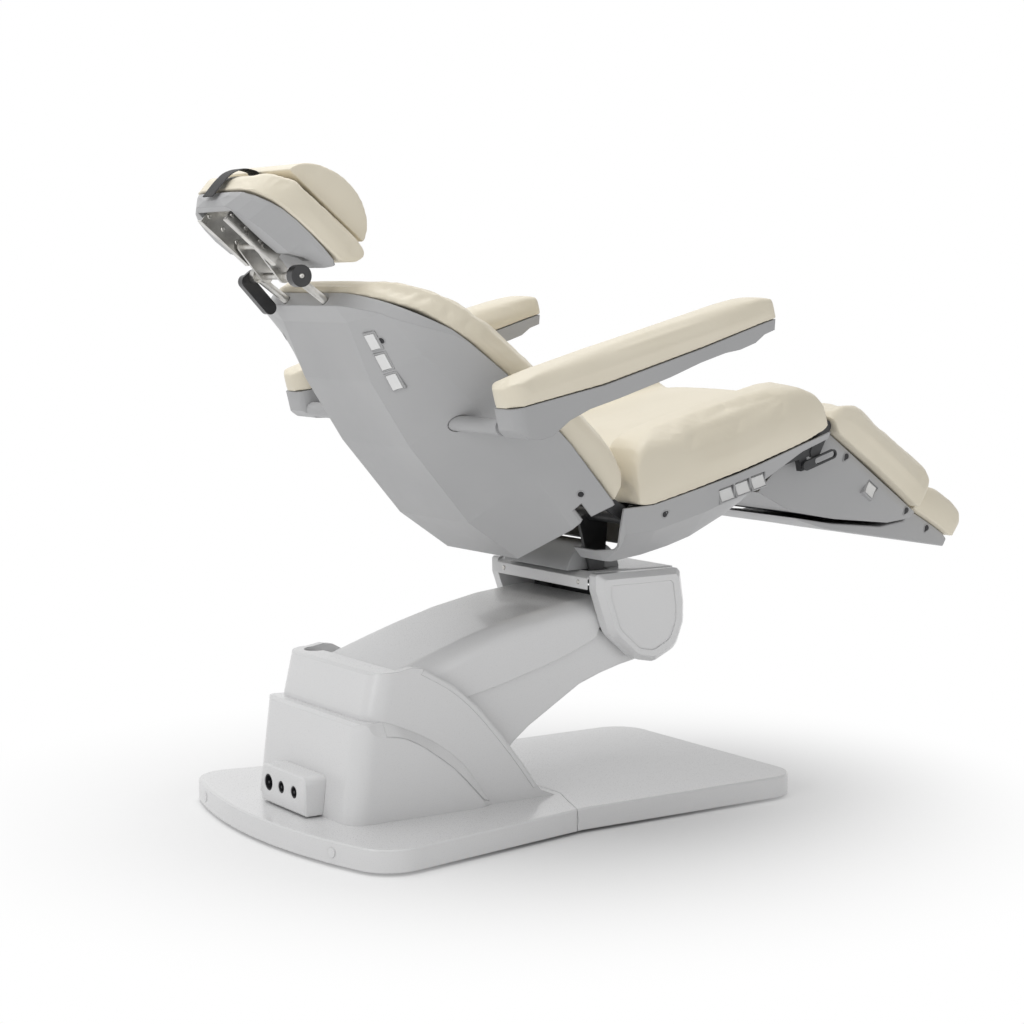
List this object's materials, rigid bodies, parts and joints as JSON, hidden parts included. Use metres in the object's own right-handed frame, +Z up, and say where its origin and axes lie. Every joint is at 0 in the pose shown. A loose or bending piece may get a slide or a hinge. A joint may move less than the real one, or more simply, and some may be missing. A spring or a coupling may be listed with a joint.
{
  "type": "medical spa chair",
  "caption": "Powered treatment chair: cushioned seat, back, leg rest with sliding foot rest, tilting arms and an adjustable headrest on a lift arm and covered base.",
  "frame": {"origin": "on the floor, at the middle foot under the base", "axes": "+X towards the sitter's feet, +Y towards the sitter's left, +Z up"},
  "size_m": [1.5567, 0.824, 1.1719],
  "materials": {
    "vinyl": "satin cream upholstery vinyl with a fine grain",
    "cover_gloss": "glossy light grey moulded plastic",
    "shell_satin": "satin mid grey moulded plastic",
    "panel_grey": "matt grey plastic",
    "socket_dark": "dark socket inserts",
    "key_white": "white rocker keys",
    "steel": "dark painted steel",
    "zinc_steel": "zinc plated steel",
    "motor_case": "black motor housing",
    "black_plastic": "black hard plastic",
    "strap_black": "black webbing",
    "rubber": "black rubber"
  },
  "bodies": {
    "base": {"base_frame": "steel", "levelling_feet": "rubber", "base_rear_cover": "cover_gloss", "base_front_cover": "cover_gloss", "skirt_screw_caps": "cover_gloss", "socket_panel": "cover_gloss", "inlet_sockets": "socket_dark", "control_box": "panel_grey", "base_pivot_pins": "steel"},
    "lift_motor": {"lift_motor": "motor_case"},
    "lift_rod": {"lift_rod": "steel"},
    "upper_arm": {"upper_link": "steel", "upper_arm_cover": "cover_gloss"},
    "lower_arm": {"lower_link": "steel", "lower_arm_cover": "cover_gloss"},
    "carrier": {"carrier_head": "steel", "carrier_pins": "steel", "carrier_top_cover": "cover_gloss", "hub_covers": "cover_gloss", "tilt_cover": "panel_grey"},
    "seat": {"seat_frame": "steel", "seat_shell": "shell_satin", "seat_cushion": "vinyl", "seat_switch_bezel": "shell_satin", "tilt_motor": "motor_case", "hinge_pins": "steel"},
    "seat_rocker_1": {"seat_rocker_1": "key_white"},
    "seat_rocker_2": {"seat_rocker_2": "key_white"},
    "seat_rocker_3": {"seat_rocker_3": "key_white"},
    "release_lever": {"release_lever": "steel"},
    "back": {"back_frame": "steel", "back_shell": "shell_satin", "back_cushion": "vinyl", "back_switch_bezel": "shell_satin", "recline_motor": "motor_case", "arm_brackets": "shell_satin"},
    "back_rocker_1": {"back_rocker_1": "key_white"},
    "back_rocker_2": {"back_rocker_2": "key_white"},
    "back_rocker_3": {"back_rocker_3": "key_white"},
    "leg": {"leg_frame": "steel", "leg_shell": "shell_satin", "leg_cushion": "vinyl", "leg_motor": "motor_case"},
    "leg_rocker": {"leg_rocker": "key_white"},
    "foot": {"foot_frame": "steel", "foot_shell": "shell_satin", "foot_cushion": "vinyl"},
    "arm_left": {"arm_left_shell": "cover_gloss", "arm_left_pad": "vinyl"},
    "arm_right": {"arm_right_shell": "cover_gloss", "arm_right_pad": "vinyl"},
    "headrest_slide": {"headrest_slide": "zinc_steel"},
    "headrest_links": {"headrest_links": "zinc_steel"},
    "headrest": {"headrest_rails": "zinc_steel", "headrest_shell": "shell_satin", "headrest_cushion": "vinyl", "neck_pillow": "vinyl", "head_strap": "strap_black"},
    "clamp_lever": {"clamp_lever": "black_plastic"},
    "clamp_hub": {"clamp_hub": "black_plastic"}
  },
  "joints": [
    {"name": "lift", "type": "hinge", "parent": "base", "child": "upper_arm", "pos_m": [-0.273, 0, 0.256], "axis": [0, 1, 0], "range_deg": [-19, 11]},
    {"name": "lower_arm_pivot", "type": "hinge", "parent": "base", "child": "lower_arm", "pos_m": [-0.253, 0, 0.189], "axis": [0, 1, 0], "range_deg": [-19, 11]},
    {"name": "carrier_level", "type": "hinge", "parent": "upper_arm", "child": "carrier", "pos_m": [0.20996, 0, 0.38541], "axis": [0, 1, 0], "range_deg": [-11, 19]},
    {"name": "lift_motor_swing", "type": "hinge", "parent": "base", "child": "lift_motor", "pos_m": [-0.19, 0, 0.07], "axis": [0, 1, 0], "range_deg": [-9.5, 5.5]},
    {"name": "lift_rod_travel", "type": "slide", "parent": "lift_motor", "child": "lift_rod", "axis": [0.4196, 0, 0.9077], "range_m": [-0.03, 0.05]},
    {"name": "seat_tilt", "type": "hinge", "parent": "carrier", "child": "seat", "pos_m": [0.15, 0, 0.434], "axis": [0, 1, 0], "range_deg": [-12, 13.5]},
    {"name": "back_recline", "type": "hinge", "parent": "seat", "child": "back", "pos_m": [0.048, 0, 0.6], "axis": [0, 1, 0], "range_deg": [-49, 15]},
    {"name": "leg_raise", "type": "hinge", "parent": "seat", "child": "leg", "pos_m": [0.588, 0, 0.7], "axis": [0, 1, 0], "range_deg": [-50, 15]},
    {"name": "foot_extend", "type": "slide", "parent": "leg", "child": "foot", "axis": [0.8039, 0, -0.5948], "range_m": [0, 0.12]},
    {"name": "arm_left_tilt", "type": "hinge", "parent": "back", "child": "arm_left", "pos_m": [-0.20004, 0.369, 0.72978], "axis": [0, 1, 0], "range_deg": [-70, 50]},
    {"name": "arm_right_tilt", "type": "hinge", "parent": "back", "child": "arm_right", "pos_m": [-0.20004, -0.369, 0.72978], "axis": [0, 1, 0], "range_deg": [-70, 50]},
    {"name": "headrest_height", "type": "slide", "parent": "back", "child": "headrest_slide", "axis": [-0.8131, 0, 0.5821], "range_m": [0, 0.06]},
    {"name": "headrest_lower_pivot", "type": "hinge", "parent": "headrest_slide", "child": "headrest_links", "pos_m": [-0.45043, 0, 0.9818], "axis": [0, 1, 0], "range_deg": [-45, 8]},
    {"name": "headrest_upper_pivot", "type": "hinge", "parent": "headrest_links", "child": "headrest", "pos_m": [-0.49251, 0, 1.03277], "axis": [0, 1, 0], "range_deg": [-35, 3]},
    {"name": "clamp_lever_turn", "type": "hinge", "parent": "headrest_slide", "child": "clamp_lever", "pos_m": [-0.45043, 0, 0.9818], "axis": [0, 1, 0], "range_deg": [0, 40]},
    {"name": "clamp_knob_turn", "type": "hinge", "parent": "headrest_slide", "child": "clamp_hub", "pos_m": [-0.45043, 0, 0.9818], "axis": [0, 1, 0], "range_deg": [-90, 90]},
    {"name": "release_lever_pull", "type": "hinge", "parent": "seat", "child": "release_lever", "pos_m": [0.5355, -0.256, 0.6273], "axis": [0, 1, 0], "range_deg": [-12, 0], "stiffness_Nm_per_rad": 2},
    {"name": "seat_rocker_1_press", "type": "hinge", "parent": "seat", "child": "seat_rocker_1", "pos_m": [0.33632, -0.25904, 0.5832], "axis": [0.9724, 0, 0.2334], "range_deg": [-6, 6], "stiffness_Nm_per_rad": 1},
    {"name": "seat_rocker_2_press", "type": "hinge", "parent": "seat", "child": "seat_rocker_2", "pos_m": [0.37406, -0.25904, 0.59306], "axis": [0.9724, 0, 0.2334], "range_deg": [-6, 6], "stiffness_Nm_per_rad": 1},
    {"name": "seat_rocker_3_press", "type": "hinge", "parent": "seat", "child": "seat_rocker_3", "pos_m": [0.4118, -0.25904, 0.60293], "axis": [0.9724, 0, 0.2334], "range_deg": [-6, 6], "stiffness_Nm_per_rad": 1},
    {"name": "back_rocker_1_press", "type": "hinge", "parent": "back", "child": "back_rocker_1", "pos_m": [-0.34595, -0.15725, 0.87307], "axis": [0.521, 0, -0.8536], "range_deg": [-6, 6], "stiffness_Nm_per_rad": 1},
    {"name": "back_rocker_2_press", "type": "hinge", "parent": "back", "child": "back_rocker_2", "pos_m": [-0.32506, -0.15709, 0.83872], "axis": [0.521, 0, -0.8536], "range_deg": [-6, 6], "stiffness_Nm_per_rad": 1},
    {"name": "back_rocker_3_press", "type": "hinge", "parent": "back", "child": "back_rocker_3", "pos_m": [-0.30418, -0.15697, 0.80438], "axis": [0.521, 0, -0.8536], "range_deg": [-6, 6], "stiffness_Nm_per_rad": 1},
    {"name": "leg_rocker_press", "type": "hinge", "parent": "leg", "child": "leg_rocker", "pos_m": [0.71803, -0.23093, 0.56976], "axis": [0.8039, 0, -0.5948], "range_deg": [-6, 6], "stiffness_Nm_per_rad": 1}
  ],
  "couplings": [
    {"joint": "lower_arm_pivot", "follows": "lift", "ratio": 1},
    {"joint": "carrier_level", "follows": "lift", "ratio": -1},
    {"joint": "lift_motor_swing", "follows": "lift", "ratio": 0.49},
    {"joint": "lift_rod_travel", "follows": "lift", "m_per_rad": -0.148}
  ]
}
